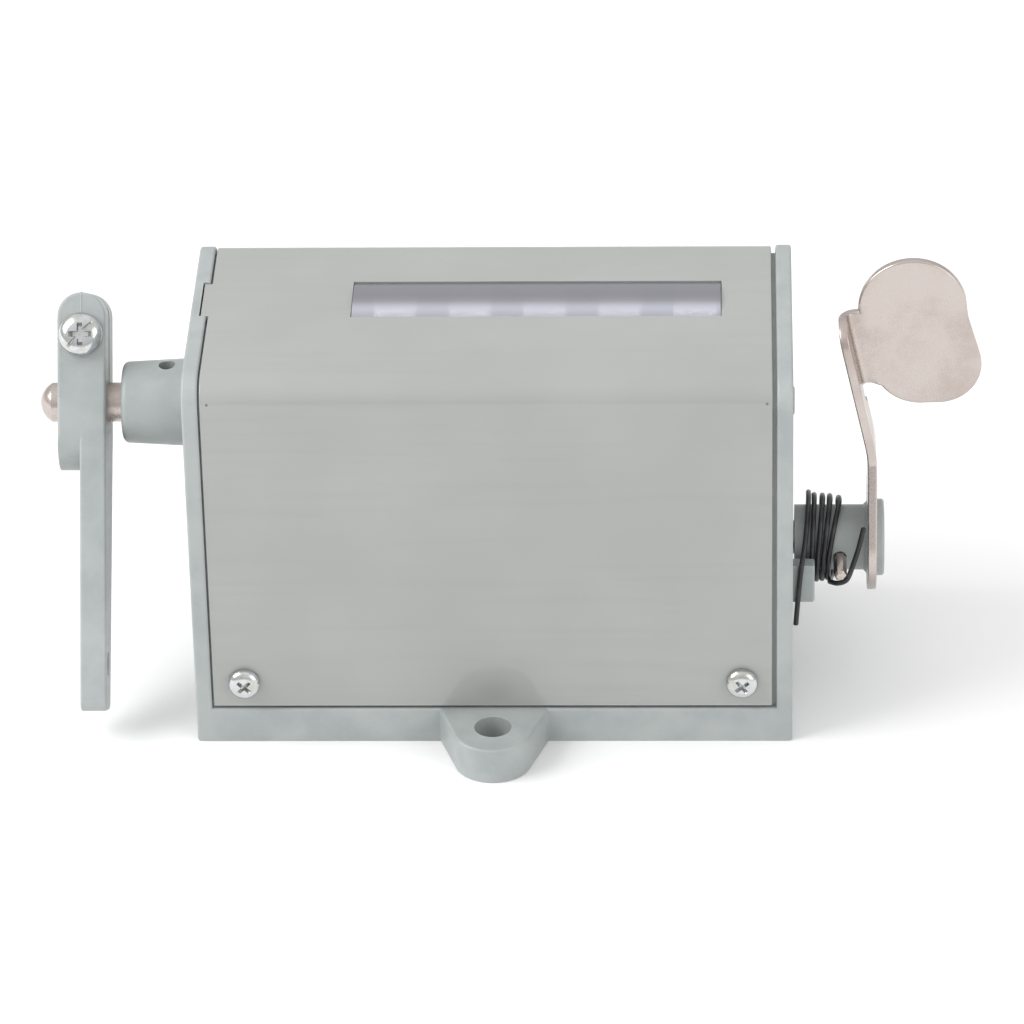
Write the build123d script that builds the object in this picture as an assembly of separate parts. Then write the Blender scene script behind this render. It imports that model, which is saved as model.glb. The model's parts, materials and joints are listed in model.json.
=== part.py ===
from build123d import *
import os
from math import cos, pi, radians, sin

# Pull-stroke counter: a die-cast U frame under a sheet cover, with a drive
# lever on the left, five number wheels inside and a reset lever on the right.
# Millimetres. X runs along the wheels, -Y faces the reader, +Z is up.
# The origin is on the underside of the frame's base, midway between the
# cheeks and straight below the reset shaft's axis.

# ---- frame and cover ----
WIDTH = 105.0
FRONT = -25.2
BACK = 29.0
HEIGHT = 72.1
CHEEK = 2.8
FLOOR = 4.0
RAIL_TOP = 6.6
RAIL = 3.0
BEND_R = 5.0
EDGE_R = 0.45
EAR_ROOT = 19.0
EAR_NOSE_R = 6.8
EAR_REACH = 6.9
EAR_HOLE_R = 3.3
EAR_HOLE_REACH = 5.9
SHEET = 1.2
SHEET_EDGE_R = 0.25
COVER_LEFT = -49.4
COVER_RIGHT = 48.95
COVER_BOTTOM = 7.2
COVER_SETBACK = 0.2
COVER_DROP = 0.2
TAB_FRONT = -0.15
TAB_BACK = 11.45
TAB_REACH = 0.95
TAB_GAP = 0.3
SEAT_GAP = 0.05
SEAT_T = 1.4
SEAT_REACH = 1.5

# ---- window ----
WIN_LEFT = -24.5
WIN_RIGHT = 40.2
WIN_FRONT = -0.6
WIN_BACK = 12.2
LENS_GAP = 0.15
LENS_FLANGE = 1.6
LENS_FLANGE_T = 0.8
LENS_CROWN = 0.5
MASK_T = 0.4

# ---- cover screws: M3 pan head ----
SCREW_X = (-43.8, 43.65)
SCREW_Z = 12.1
M3_R = 1.5
M3_HEAD_R = 2.85
M3_HEAD_H = 2.0
M3_LENGTH = 8.0
BOSS_W = 9.0
BOSS_DEEP = 7.0
BOSS_TOP = 17.0
BOSS_GAP = 0.1

# ---- the two axes ----
AXIS_Y = 5.8
AXIS_Z = 51.3
RESET_Y = 0.0
RESET_Z = 26.7
RUN = 0.04

# ---- drive side ----
BOSS_END = -65.6
BOSS_END_R = 7.15
BOSS_ROOT_R = 7.85
BOSS_EDGE_R = 1.1
OIL_HOLE_R = 1.5
OIL_HOLE_X = -57.6
SHAFT_R = 3.5
SHAFT_END = -80.3
SHAFT_DOME = 2.1
SHAFT_INNER = -37.5
PILOT_DEPTH = 5.0
LEVER_LEFT = -76.7
LEVER_RIGHT = -68.2
LEVER_TILT = -30.0
LEVER_TOP = 19.3
LEVER_HUB_BOTTOM = -12.1
LEVER_END = -54.5
LEVER_DEEP = 7.0
ARM_T = 4.6
ARM_TOE = 0.8
LEVER_FOOT_R = 6.9
TOE_R = 1.6
SLIT = 1.5
CLAMP_Z = 11.9
M4_R = 2.0
M4_HEAD_R = 3.85
M4_HEAD_H = 2.9
M4_LENGTH = 14.5
LINK_HOLE_R = 2.1
LINK_HOLE_Y = -3.2
LINK_HOLE_Z = -46.2

# ---- ratchet ----
CARRIER_LEFT = -48.2
CARRIER_RIGHT = -38.0
CARRIER_R = 6.0
CARRIER_ARM_T = 2.0
CARRIER_REACH = 14.6
CARRIER_ANGLE = 150.0
CARRIER_PIN_X = -45.0
CARRIER_PIN_R = 0.75
RETURN_R = 7.2
RETURN_WIRE_R = 0.5
RATCHET_X = -36.8
RATCHET_W = 2.0
RATCHET_TIP_R = 11.0
RATCHET_ROOT_R = 8.8
RATCHET_TEETH = 10
RATCHET_HUB_R = 5.0
RATCHET_HUB_X = -32.0
PAWL_W = 2.0
PAWL_PIN_R = 1.25
PAWL_EYE_R = 2.6
PAWL_NOSE_R = 0.9
PAWL_NOSE_REACH = 12.2
NOSE_SPREAD = 32.0
HOLD_ANGLE = -70.0
HOLD_REACH = 14.6

# ---- partition plate ----
PLATE_X = -27.5
PLATE_T = 1.5
PLATE_FRONT = -21.0
PLATE_BACK = 24.0
PLATE_TOP = 66.0
PLATE_FOOT = 8.0
PLATE_SCREW_X = -21.5
PLATE_SCREW_Y = 12.0
ROD_SEAT = 1.4
DRIVE_BUSH_R = 5.0
ARBOR_BUSH_R = 4.2
RESET_BUSH_R = 4.6

# ---- number wheels ----
WHEELS = ("ten_thousands", "thousands", "hundreds", "tens", "units")
WHEEL_PITCH = 13.1
WHEEL_X = -20.85
RIM_IN = 0.2
RIM_W = 7.5
RIM_R = 16.5
RIM_HOLLOW_R = 14.4
WEB = 2.2
WHEEL_HUB_R = 3.8
WHEEL_HUB_RIGHT = 11.3
ARBOR_R = 2.65
ARBOR_PIN_R = 0.6
ARBOR_PIN_HALF = 3.4
ARBOR_END = 53.05
GEAR_TEETH = 20
GEAR_TIP_R = 16.1
GEAR_ROOT_R = 13.3
GEAR_W = 1.5
GEAR_TOOTH_ROOT = 2.5
GEAR_TOOTH_TIP = 0.9
CAM_AT = 9.7
CAM_W = 1.4
CAM_FACING = -103.3
CAM_STEPS = 16
CAM_MIN_R = 5.0
CAM_MAX_R = 9.5
CARRY_W = 1.5
CARRY_R = 13.3
CARRY_NOTCH_R = 2.0

# ---- transfer pinions ----
PINION_CENTRE = 21.0
PINION_TEETH = 8
PINION_TIP_R = 7.1
PINION_ROOT_R = 4.3
PINION_AT = 7.95
PINION_W = 5.0
PINION_SHAFT_R = 2.0
PINION_TOOTH_ROOT = 2.3
PINION_TOOTH_TIP = 0.8

# ---- reset side ----
RESET_SHAFT_R = 3.0
HUB_R = 5.8
HUB_LEFT = 53.0
HUB_FLARE = 0.7
SPIGOT_R = 4.0
LEVER_PLATE_X = 65.85
LEVER_PLATE_T = 1.6
CAP_T = 1.4
CAP_R = 6.8
PLATE_EYE_R = 9.3
PLATE_ARM_HALF = 4.5
PLATE_EDGE_R = 0.3
KNEE_LOW_Z = 45.0
KNEE_LOW_R = 28.0
KNEE_HIGH_Z = 69.3
KNEE_HIGH_R = 12.0
PLATE_JOG = 5.3
PLATE_TIP_JOG = 5.5
PLATE_TIP_Z = 70.7
PADDLE_FRONT = 2.9
PADDLE_CIRCLES = ((73.5, 71.1, 9.5), (78.2, 59.9, 7.5), (75.1, 60.8, 8.5))
PADDLE_NECK = ((61.5, 69.8), (64.2, 70.6), (70.0, 70.6), (70.0, 55.0),
               (67.9, 55.85), (66.6, 56.45), (64.3, 56.1))
PIN_R = 1.2
PIN_X = 61.0
PIN_REACH = 11.4
PIN_DROP = 7.5
LUG_X = 56.5
LUG_FRONT = -10.7
LUG_BACK = -8.2
LUG_BOTTOM = 19.7
LUG_TOP = 27.1
WIRE_R = 0.4
COIL_R = 7.3
COIL_TURNS = 5
COIL_LEFT = 54.8
COIL_RIGHT = 59.2
COIL_START = 270.0
TAIL_END = 15.4
HAMMER_HUB_R = 4.6
HAMMER_LEFT = -19.5
HAMMER_RIGHT = 45.0
HAMMER_PIN_X = 44.0
FINGER_AT = 9.8
FINGER_R = 15.1
FINGER_W = 1.2
FINGER_HALF = 2.2
FINGER_REST = 58.3
STOP_ANGLE = 9.5
STOP_REACH = 12.0

MIDDLE = (FRONT + BACK) / 2
INNER = WIDTH / 2 - CHEEK
WHEEL_LAST = WHEEL_X + WHEEL_PITCH * (len(WHEELS) - 1)
ARBOR_PIN_X = (-33.2, WHEEL_LAST + 8.7)
PINION_Y = AXIS_Y - PINION_CENTRE
TIE_Y = RESET_Y + STOP_REACH * cos(radians(STOP_ANGLE))
TIE_Z = RESET_Z + STOP_REACH * sin(radians(STOP_ANGLE))


# ---- helpers ----
def block(x0, x1, y0, y1, z0, z1):
    """A box between two corners."""
    size = (x1 - x0, y1 - y0, z1 - z0)
    return Pos((x0 + x1) / 2, (y0 + y1) / 2, (z0 + z1) / 2) * Box(*size)


def rod(radius, x0, x1, y=0.0, z=0.0):
    """A cylinder along X."""
    return Pos((x0 + x1) / 2, y, z) * Rot(0, 90, 0) * Cylinder(radius, x1 - x0)


def rod_y(radius, y0, y1, x=0.0, z=0.0):
    """A cylinder along Y."""
    return Pos(x, (y0 + y1) / 2, z) * Rot(90, 0, 0) * Cylinder(radius, y1 - y0)


def tube(outer, inner, x0, x1, y=0.0, z=0.0):
    return rod(outer, x0, x1, y, z) - rod(inner, x0 - 1, x1 + 1, y, z)


def slab(points, x0, x1):
    """A prism along X whose outline is given in (y, z)."""
    face = Plane.YZ * make_face(Polyline(*points, close=True))
    return Pos(x0, 0, 0) * extrude(face, x1 - x0)


def polar(radius, degrees):
    """(y, z) at an angle measured from +Y towards +Z."""
    return radius * cos(radians(degrees)), radius * sin(radians(degrees))


def at_main(shape):
    return Pos(0, AXIS_Y, AXIS_Z) * shape


def at_reset(shape):
    return Pos(0, RESET_Y, RESET_Z) * shape


def capsule(p, q, radius, x0, x1):
    """A rounded bar in a YZ plane from p to q, each (y, z)."""
    dy = q[0] - p[0]
    dz = q[1] - p[1]
    length = (dy * dy + dz * dz) ** 0.5
    ny = -dz / length * radius
    nz = dy / length * radius
    corners = [(p[0] + ny, p[1] + nz), (q[0] + ny, q[1] + nz),
               (q[0] - ny, q[1] - nz), (p[0] - ny, p[1] - nz)]
    bar = slab(corners, x0, x1)
    return bar + rod(radius, x0, x1, *p) + rod(radius, x0, x1, *q)


def u_profile(inset, bottom):
    """The inverted U in (y, z), inset from the cover's outer skin."""
    top = HEIGHT - COVER_DROP - inset
    depth = BACK - FRONT - 2 * (COVER_SETBACK + inset)
    height = top - bottom
    face = Pos(MIDDLE, bottom + height / 2) * RectangleRounded(depth, height, BEND_R - inset)
    return face + Pos(MIDDLE, bottom + height / 4) * Rectangle(depth, height / 2)


def wire(path_points, radii):
    """A round wire along straight runs joined by arcs."""
    path = FilletPolyline(*path_points, radius=radii)
    start = Plane(origin=path @ 0, z_dir=path % 0)
    return sweep(start * Circle(WIRE_R), path=path)


def coil(radius, wire_r, x0, x1, turns, start_degrees):
    """A left-handed helical spring along X."""
    helix = Helix(pitch=(x1 - x0) / turns, height=x1 - x0, radius=radius, lefthand=True)
    start = Plane(origin=helix @ 0, z_dir=helix % 0)
    spring = sweep(start * Circle(wire_r), path=helix, is_frenet=True)
    return Pos(x0, 0, 0) * Rot(start_degrees, 0, 0) * Rot(0, 90, 0) * spring


def toothed(teeth, root, tip, root_w, tip_w, width, first_degrees):
    """A spur gear blank along +X from x = 0, with straight-sided teeth."""
    gear = rod(root, 0, width)
    tooth = slab([(root - 0.4, -root_w / 2), (tip, -tip_w / 2),
                  (tip, tip_w / 2), (root - 0.4, root_w / 2)], 0, width)
    for i in range(teeth):
        gear += Rot(first_degrees + i * 360 / teeth, 0, 0) * tooth
    return gear


# ---- frame ----
def outer_face(side):
    """The y of the frame's front (side -1) or back (side +1)."""
    return BACK if side > 0 else FRONT


def ear(side):
    """A mounting ear; side is -1 for the front and +1 for the back."""
    face = outer_face(side)
    nose = Pos(0, face + side * EAR_REACH) * Circle(EAR_NOSE_R)
    root = Pos(0, face - side * RAIL / 2) * Rectangle(EAR_ROOT, RAIL)
    plate = extrude(make_hull((nose + root).edges()), RAIL_TOP)
    plate = fillet(plate.edges().group_by(Axis.Z)[-1], EDGE_R)
    return plate - Pos(0, face + side * EAR_HOLE_REACH) * Cylinder(EAR_HOLE_R, 3 * RAIL_TOP)


def cheek(side):
    """A side wall whose top corners follow the cover's bends."""
    wall = extrude(Plane.YZ * u_profile(-COVER_SETBACK, 0), CHEEK)
    rims = wall.edges().group_by(Axis.X)
    wall = fillet(rims[0] + rims[-1], EDGE_R)
    return Pos(INNER if side > 0 else -WIDTH / 2, 0, 0) * wall


def cover_seat(side):
    """The rib inside a cheek that the cover's edge rests on."""
    inset = SHEET + SEAT_GAP
    ring = u_profile(inset, FLOOR) - u_profile(inset + SEAT_T, FLOOR - 1)
    rib = extrude(Plane.YZ * ring, SEAT_REACH + CHEEK / 2)
    return Pos(INNER - SEAT_REACH if side > 0 else -INNER - CHEEK / 2, 0, 0) * rib


def rail(side):
    """The low lip along the front or the back of the base."""
    inner = outer_face(side) - side * RAIL
    half = WIDTH / 2 - CHEEK / 2
    lip = block(-half, half, min(inner, outer_face(side)), max(inner, outer_face(side)), 0, RAIL_TOP)
    crest = lip.edges().filter_by(Axis.X).group_by(Axis.Z)[-1].sort_by(Axis.Y)
    return fillet(crest[-1 if side > 0 else 0], EDGE_R)


def screw_boss(x, side):
    """A square post for a cover screw, behind a rail."""
    outer = outer_face(side) - side * (COVER_SETBACK + SHEET + BOSS_GAP)
    inner = outer - side * BOSS_DEEP
    post = block(x - BOSS_W / 2, x + BOSS_W / 2, min(outer, inner), max(outer, inner), FLOOR, BOSS_TOP)
    return post - rod_y(M3_R, FRONT, BACK, x, SCREW_Z)


def drive_boss():
    """The tapered bearing boss on the left cheek."""
    length = -WIDTH / 2 - BOSS_END
    cone = Cone(BOSS_END_R, BOSS_ROOT_R, length)
    rim = cone.edges().filter_by(GeomType.CIRCLE).sort_by(Axis.Z)[0]
    cone = fillet(rim, BOSS_EDGE_R)
    return Pos(BOSS_END + length / 2, AXIS_Y, AXIS_Z) * Rot(0, 90, 0) * cone


def stop_lug():
    """The lug on the right cheek that holds the reset spring's tail."""
    lug = block(WIDTH / 2 - CHEEK / 2, LUG_X, LUG_FRONT, LUG_BACK, LUG_BOTTOM, LUG_TOP)
    return fillet(lug.edges().group_by(Axis.X)[-1], EDGE_R)


def frame_casting():
    half = WIDTH / 2 - CHEEK / 2
    body = block(-half, half, FRONT, BACK, 0, FLOOR)
    for side in (-1, 1):
        body += rail(side)
        body += cheek(side)
        body += cover_seat(side)
    for side in (-1, 1):
        body += ear(side)
        for x in SCREW_X:
            body += screw_boss(x, side)
    body += drive_boss()
    body += stop_lug()
    body -= rod(DRIVE_BUSH_R, BOSS_END - 1, -INNER + 1, AXIS_Y, AXIS_Z)
    body -= rod(ARBOR_BUSH_R, INNER - 1, WIDTH / 2 + 1, AXIS_Y, AXIS_Z)
    body -= rod(RESET_BUSH_R, INNER - 1, WIDTH / 2 + 1, RESET_Y, RESET_Z)
    body -= Pos(OIL_HOLE_X, AXIS_Y, AXIS_Z + 6) * Cylinder(OIL_HOLE_R, 12)
    body -= block(-INNER - TAB_REACH - TAB_GAP, -INNER + 1, TAB_FRONT - TAB_GAP,
                  TAB_BACK + TAB_GAP, HEIGHT - SHEET - COVER_DROP - TAB_GAP, HEIGHT + 1)
    for y, z in ((PINION_Y, AXIS_Z), (TIE_Y, TIE_Z)):
        body -= rod(PINION_SHAFT_R, INNER - 1, INNER + ROD_SEAT, y, z)
    for y in (-PLATE_SCREW_Y, PLATE_SCREW_Y):
        body -= Pos(PLATE_SCREW_X, y, FLOOR - 1) * Cylinder(M3_R, 2.01)
    return body


# ---- cover and window ----
def cover():
    skin = Plane.YZ * (u_profile(0, COVER_BOTTOM) - u_profile(SHEET, COVER_BOTTOM - 1))
    shell = Pos(COVER_LEFT, 0, 0) * extrude(skin, COVER_RIGHT - COVER_LEFT)
    ends = shell.edges().group_by(Axis.X)
    shell = fillet(ends[0] + ends[-1], SHEET_EDGE_R)
    top = HEIGHT - COVER_DROP
    shell += block(-INNER - TAB_REACH, COVER_LEFT + 1, TAB_FRONT, TAB_BACK, top - SHEET, top)
    shell -= block(WIN_LEFT, WIN_RIGHT, WIN_FRONT, WIN_BACK, top - 2 * SHEET, top + 1)
    for x in SCREW_X:
        shell -= rod_y(M3_R + 0.2, FRONT - 1, BACK + 1, x, SCREW_Z)
    return shell


def window_lens():
    """A clear strip, crowned through the slot, with a flange under the sheet."""
    top = HEIGHT - COVER_DROP
    under = top - SHEET
    y0 = WIN_FRONT + LENS_GAP
    y1 = WIN_BACK - LENS_GAP
    crown = make_face([
        Line((y0, under), (y0, top - 0.3)),
        ThreePointArc((y0, top - 0.3), ((y0 + y1) / 2, top + LENS_CROWN), (y1, top - 0.3)),
        Line((y1, top - 0.3), (y1, under)),
        Line((y1, under), (y0, under)),
    ])
    length = WIN_RIGHT - WIN_LEFT - 2 * LENS_GAP
    bar = Pos(WIN_LEFT + LENS_GAP, 0, 0) * extrude(Plane.YZ * crown, length)
    return bar + block(WIN_LEFT - LENS_FLANGE, WIN_RIGHT + LENS_FLANGE, WIN_FRONT - LENS_FLANGE,
                       WIN_BACK + LENS_FLANGE, under - LENS_FLANGE_T, under)


def digit_mask():
    """The dark sheet under the lens, with one opening for each wheel."""
    top = HEIGHT - COVER_DROP - SHEET - LENS_FLANGE_T
    mask = block(WIN_LEFT - LENS_FLANGE, WIN_RIGHT + LENS_FLANGE, WIN_FRONT - LENS_FLANGE,
                 WIN_BACK + LENS_FLANGE, top - MASK_T, top)
    for i in range(len(WHEELS)):
        middle = WHEEL_X + i * WHEEL_PITCH + RIM_IN + RIM_W / 2
        mask -= block(middle - RIM_W / 2, middle + RIM_W / 2, WIN_FRONT + 1, WIN_BACK - 1,
                      top - 2, top + 1)
    return mask


# ---- fasteners ----
def pan_head_screw(head_r, head_h, shank_r, length):
    """A screw along Z, its seat at z = 0 and its head above, with a cross recess."""
    head = Cylinder(head_r, head_h, align=(Align.CENTER, Align.CENTER, Align.MIN))
    head = fillet(head.edges().sort_by(Axis.Z)[-1], head_h * 0.55)
    for turn in (0, 90):
        head -= Rot(0, 0, turn) * Pos(0, 0, head_h) * Box(head_r, head_r * 0.24, head_h)
    shank = Cylinder(shank_r, length, align=(Align.CENTER, Align.CENTER, Align.MAX))
    return head + shank


def cover_screws():
    screws = []
    for side in (-1, 1):
        seat = outer_face(side) - side * COVER_SETBACK
        for x in SCREW_X:
            screw = pan_head_screw(M3_HEAD_R, M3_HEAD_H, M3_R - RUN, M3_LENGTH)
            screws.append(Pos(x, seat, SCREW_Z) * Rot(-90 * side, 0, 0) * Rot(0, 0, 45) * screw)
    return screws


def plate_screws():
    screws = []
    for y in (-PLATE_SCREW_Y, PLATE_SCREW_Y):
        screw = pan_head_screw(M3_HEAD_R, M3_HEAD_H, M3_R - RUN, PLATE_T + 0.9)
        screws.append(Pos(PLATE_SCREW_X, y, FLOOR + PLATE_T) * screw)
    return screws


# ---- bearings ----
def drive_bush():
    bush = rod(DRIVE_BUSH_R, BOSS_END + 0.3, -INNER, AXIS_Y, AXIS_Z)
    bush += rod(DRIVE_BUSH_R + 1.5, -INNER, -INNER + 1, AXIS_Y, AXIS_Z)
    bush -= rod(SHAFT_R + RUN, BOSS_END - 1, -INNER + 2, AXIS_Y, AXIS_Z)
    return bush - Pos(OIL_HOLE_X, AXIS_Y, AXIS_Z + 6) * Cylinder(OIL_HOLE_R * 0.6, 12)


def cheek_bush(outer, bore, y, z):
    """A flanged bush pressed into the right cheek from inside."""
    bush = rod(outer, INNER, WIDTH / 2, y, z) + rod(outer + 1.5, INNER - 1, INNER, y, z)
    return bush - rod(bore + RUN, INNER - 2, WIDTH / 2 + 1, y, z)


def plate_bush(outer, bore, y, z):
    """A flanged bush in the partition plate."""
    bush = rod(outer, PLATE_X, PLATE_X + PLATE_T, y, z)
    bush += rod(outer + 1.2, PLATE_X + PLATE_T, PLATE_X + PLATE_T + 0.8, y, z)
    return bush - rod(bore + RUN, PLATE_X - 1, PLATE_X + PLATE_T + 2, y, z)


# ---- partition plate and its rods ----
def partition_plate():
    plate = block(PLATE_X, PLATE_X + PLATE_T, PLATE_FRONT, PLATE_BACK, FLOOR, PLATE_TOP)
    plate += block(PLATE_X, PLATE_X + PLATE_FOOT + PLATE_T, PLATE_FRONT, PLATE_BACK, FLOOR, FLOOR + PLATE_T)
    x0 = PLATE_X - 1
    x1 = PLATE_X + PLATE_T + 1
    plate -= rod(ARBOR_BUSH_R, x0, x1, AXIS_Y, AXIS_Z)
    plate -= rod(RESET_BUSH_R, x0, x1, RESET_Y, RESET_Z)
    for y, z in ((PINION_Y, AXIS_Z), (TIE_Y, TIE_Z)):
        plate -= rod(PINION_SHAFT_R, x0, x1, y, z)
    pin_y, pin_z = polar(HOLD_REACH, HOLD_ANGLE)
    plate -= at_main(rod(PAWL_PIN_R, x0, x1, pin_y, pin_z))
    for y in (-PLATE_SCREW_Y, PLATE_SCREW_Y):
        plate -= Pos(PLATE_SCREW_X, y, FLOOR) * Cylinder(M3_R + 0.2, 3 * PLATE_T)
    return plate


def cross_rod(y, z):
    """A plain rod from the partition plate to its seat in the right cheek."""
    return rod(PINION_SHAFT_R, PLATE_X - 1.2, INNER + ROD_SEAT, y, z)


def rod_clips():
    """Retaining rings on the two rods, each side of the partition plate."""
    clips = []
    for y, z in ((PINION_Y, AXIS_Z), (TIE_Y, TIE_Z)):
        clips.append(tube(PINION_SHAFT_R + 1.5, PINION_SHAFT_R, PLATE_X - 0.7, PLATE_X, y, z))
        clips.append(tube(PINION_SHAFT_R + 1.5, PINION_SHAFT_R, PLATE_X + PLATE_T,
                          PLATE_X + PLATE_T + 0.7, y, z))
    return clips


# ---- drive side ----
def drive_shaft():
    dome_r = (SHAFT_R ** 2 + SHAFT_DOME ** 2) / (2 * SHAFT_DOME)
    bar = rod(SHAFT_R, SHAFT_END, SHAFT_END + SHAFT_DOME + 1)
    tip = bar & Pos(SHAFT_END + dome_r, 0, 0) * Sphere(dome_r)
    shaft = tip + rod(SHAFT_R, SHAFT_END + SHAFT_DOME, SHAFT_INNER)
    shaft -= rod(ARBOR_R + RUN, SHAFT_INNER - PILOT_DEPTH, SHAFT_INNER + 1)
    shaft -= Pos(CARRIER_PIN_X, 0, 0) * Cylinder(CARRIER_PIN_R, 20)
    return at_main(shaft)


def lever_hub(middle, half):
    """The lever's clamp: round on top across X, and round underneath across Y."""
    z0 = LEVER_HUB_BOTTOM
    z1 = LEVER_TOP - half
    front = Pos(middle, (z0 + z1) / 2) * Rectangle(2 * half, z1 - z0) + Pos(middle, z1) * Circle(half)
    hub = extrude(Plane.XZ * front, LEVER_DEEP, both=True)
    rims = hub.edges().group_by(Axis.Y)
    hub = fillet(rims[0] + rims[-1], EDGE_R)
    side = Pos(0, (z0 + LEVER_TOP) / 2) * Rectangle(2 * LEVER_DEEP, LEVER_TOP - z0)
    side = fillet(side.vertices().group_by(Axis.Y)[0], LEVER_FOOT_R)
    return hub & Pos(LEVER_LEFT - 1, 0, 0) * extrude(Plane.YZ * side, 2 * half + 2)


def lever_arm():
    """The arm below the clamp, tapered to its toe."""
    outline = [(-LEVER_DEEP, LEVER_HUB_BOTTOM + LEVER_FOOT_R), (-LEVER_DEEP, LEVER_END),
               (ARM_TOE, LEVER_END), (LEVER_DEEP, LEVER_HUB_BOTTOM + LEVER_FOOT_R)]
    arm = slab(outline, LEVER_RIGHT - ARM_T, LEVER_RIGHT)
    toe = arm.edges().filter_by(Axis.X).group_by(Axis.Z)[0]
    arm = fillet(toe, TOE_R)
    rims = arm.edges().group_by(Axis.X)
    return fillet(rims[0] + rims[-1], EDGE_R)


def drive_lever():
    middle = (LEVER_LEFT + LEVER_RIGHT) / 2
    half = (LEVER_RIGHT - LEVER_LEFT) / 2
    lever = lever_hub(middle, half) + lever_arm()
    lever -= rod(SHAFT_R, LEVER_LEFT - 1, LEVER_RIGHT + 1)
    lever -= block(LEVER_LEFT - 1, LEVER_RIGHT + 1, -SLIT / 2, SLIT / 2, 0, LEVER_TOP + 1)
    lever -= rod_y(M4_R, -LEVER_DEEP - 1, LEVER_DEEP + 1, middle, CLAMP_Z)
    lever -= rod(LINK_HOLE_R, LEVER_RIGHT - ARM_T - 1, LEVER_RIGHT + 1, LINK_HOLE_Y, LINK_HOLE_Z)
    return at_main(Rot(LEVER_TILT, 0, 0) * lever)


def clamp_screw():
    middle = (LEVER_LEFT + LEVER_RIGHT) / 2
    screw = pan_head_screw(M4_HEAD_R, M4_HEAD_H, M4_R - RUN, M4_LENGTH)
    placed = Pos(middle, -LEVER_DEEP, CLAMP_Z) * Rot(90, 0, 0) * Rot(0, 0, 40) * screw
    return at_main(Rot(LEVER_TILT, 0, 0) * placed)


def pawl_carrier():
    """The arm pinned to the drive shaft that carries the drive pawl."""
    eye = polar(CARRIER_REACH, CARRIER_ANGLE)
    part = rod(CARRIER_R, CARRIER_LEFT, CARRIER_RIGHT)
    part += capsule((0, 0), eye, 3.2, CARRIER_RIGHT - CARRIER_ARM_T - 1, CARRIER_RIGHT - 1)
    part -= rod(SHAFT_R, CARRIER_LEFT - 1, CARRIER_RIGHT + 1)
    part -= rod(PAWL_PIN_R, CARRIER_LEFT, RATCHET_X, *eye)
    part -= Pos(CARRIER_PIN_X, 0, 0) * Cylinder(CARRIER_PIN_R, 30)
    return at_main(part)


def carrier_pin():
    return at_main(Pos(CARRIER_PIN_X, 0, 0) * Cylinder(CARRIER_PIN_R, 2 * CARRIER_R - 0.4))


def drive_pawl_pin():
    eye = polar(CARRIER_REACH, CARRIER_ANGLE)
    pin = rod(PAWL_PIN_R, CARRIER_RIGHT - CARRIER_ARM_T - 1, RATCHET_X + PAWL_W + 0.6, *eye)
    pin += rod(PAWL_PIN_R + 0.8, RATCHET_X + PAWL_W + 0.1, RATCHET_X + PAWL_W + 0.8, *eye)
    return at_main(pin)


def pawl(pivot_angle, reach, nose_angle):
    """A rocking pawl whose nose stands just outside the ratchet's teeth."""
    eye = polar(reach, pivot_angle)
    nose = polar(PAWL_NOSE_REACH, nose_angle)
    part = rod(PAWL_EYE_R, RATCHET_X, RATCHET_X + PAWL_W, *eye)
    part += capsule(eye, nose, PAWL_NOSE_R, RATCHET_X, RATCHET_X + PAWL_W)
    part -= rod(PAWL_PIN_R + RUN, RATCHET_X - 1, RATCHET_X + PAWL_W + 1, *eye)
    return at_main(part)


def hold_pawl_pin():
    eye = polar(HOLD_REACH, HOLD_ANGLE)
    pin = rod(PAWL_PIN_R, RATCHET_X - 0.6, PLATE_X + PLATE_T, *eye)
    pin += rod(PAWL_PIN_R + 0.8, RATCHET_X - 0.8, RATCHET_X - 0.1, *eye)
    pin += rod(PAWL_PIN_R + 1.0, RATCHET_X + PAWL_W + 0.1, PLATE_X, *eye)
    return at_main(pin)


def return_spring():
    return at_main(coil(RETURN_R, RETURN_WIRE_R, CARRIER_LEFT + 0.6, CARRIER_LEFT + 5.0, 3.5, 0))


# ---- number wheels ----
def arbor():
    bar = rod(ARBOR_R, SHAFT_INNER - PILOT_DEPTH + 0.3, ARBOR_END)
    end = bar.edges().filter_by(GeomType.CIRCLE).sort_by(Axis.X)[-1]
    bar = fillet(end, 0.5)
    for x in ARBOR_PIN_X:
        bar -= Pos(x, 0, 0) * Cylinder(ARBOR_PIN_R, 20)
    return at_main(bar)


def arbor_pins():
    """The cross pins that key the ratchet wheel and the units wheel."""
    pins = []
    for x in ARBOR_PIN_X:
        pins.append(at_main(Pos(x, 0, 0) * Cylinder(ARBOR_PIN_R, 2 * ARBOR_PIN_HALF)))
    return pins


def arbor_clip():
    x = WHEEL_LAST + WHEEL_HUB_RIGHT
    return at_main(tube(ARBOR_R + 1.8, ARBOR_R, x, x + 0.8))


def arbor_spacer():
    left = PLATE_X + PLATE_T + 0.9
    return at_main(tube(ARBOR_R + 1.2, ARBOR_R, left, WHEEL_X + RIM_IN - 0.15))


def ratchet_wheel():
    step = 360 / RATCHET_TEETH
    outline = []
    for i in range(RATCHET_TEETH):
        outline.append(polar(RATCHET_TIP_R, i * step))
        outline.append(polar(RATCHET_ROOT_R, i * step + 4))
    wheel = slab(outline, RATCHET_X, RATCHET_X + RATCHET_W)
    wheel += rod(RATCHET_HUB_R, RATCHET_X + RATCHET_W, RATCHET_HUB_X)
    wheel -= rod(ARBOR_R, RATCHET_X - 1, RATCHET_HUB_X + 1)
    wheel -= Pos(ARBOR_PIN_X[0], 0, 0) * Cylinder(ARBOR_PIN_R, 20)
    return at_main(wheel)


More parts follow.
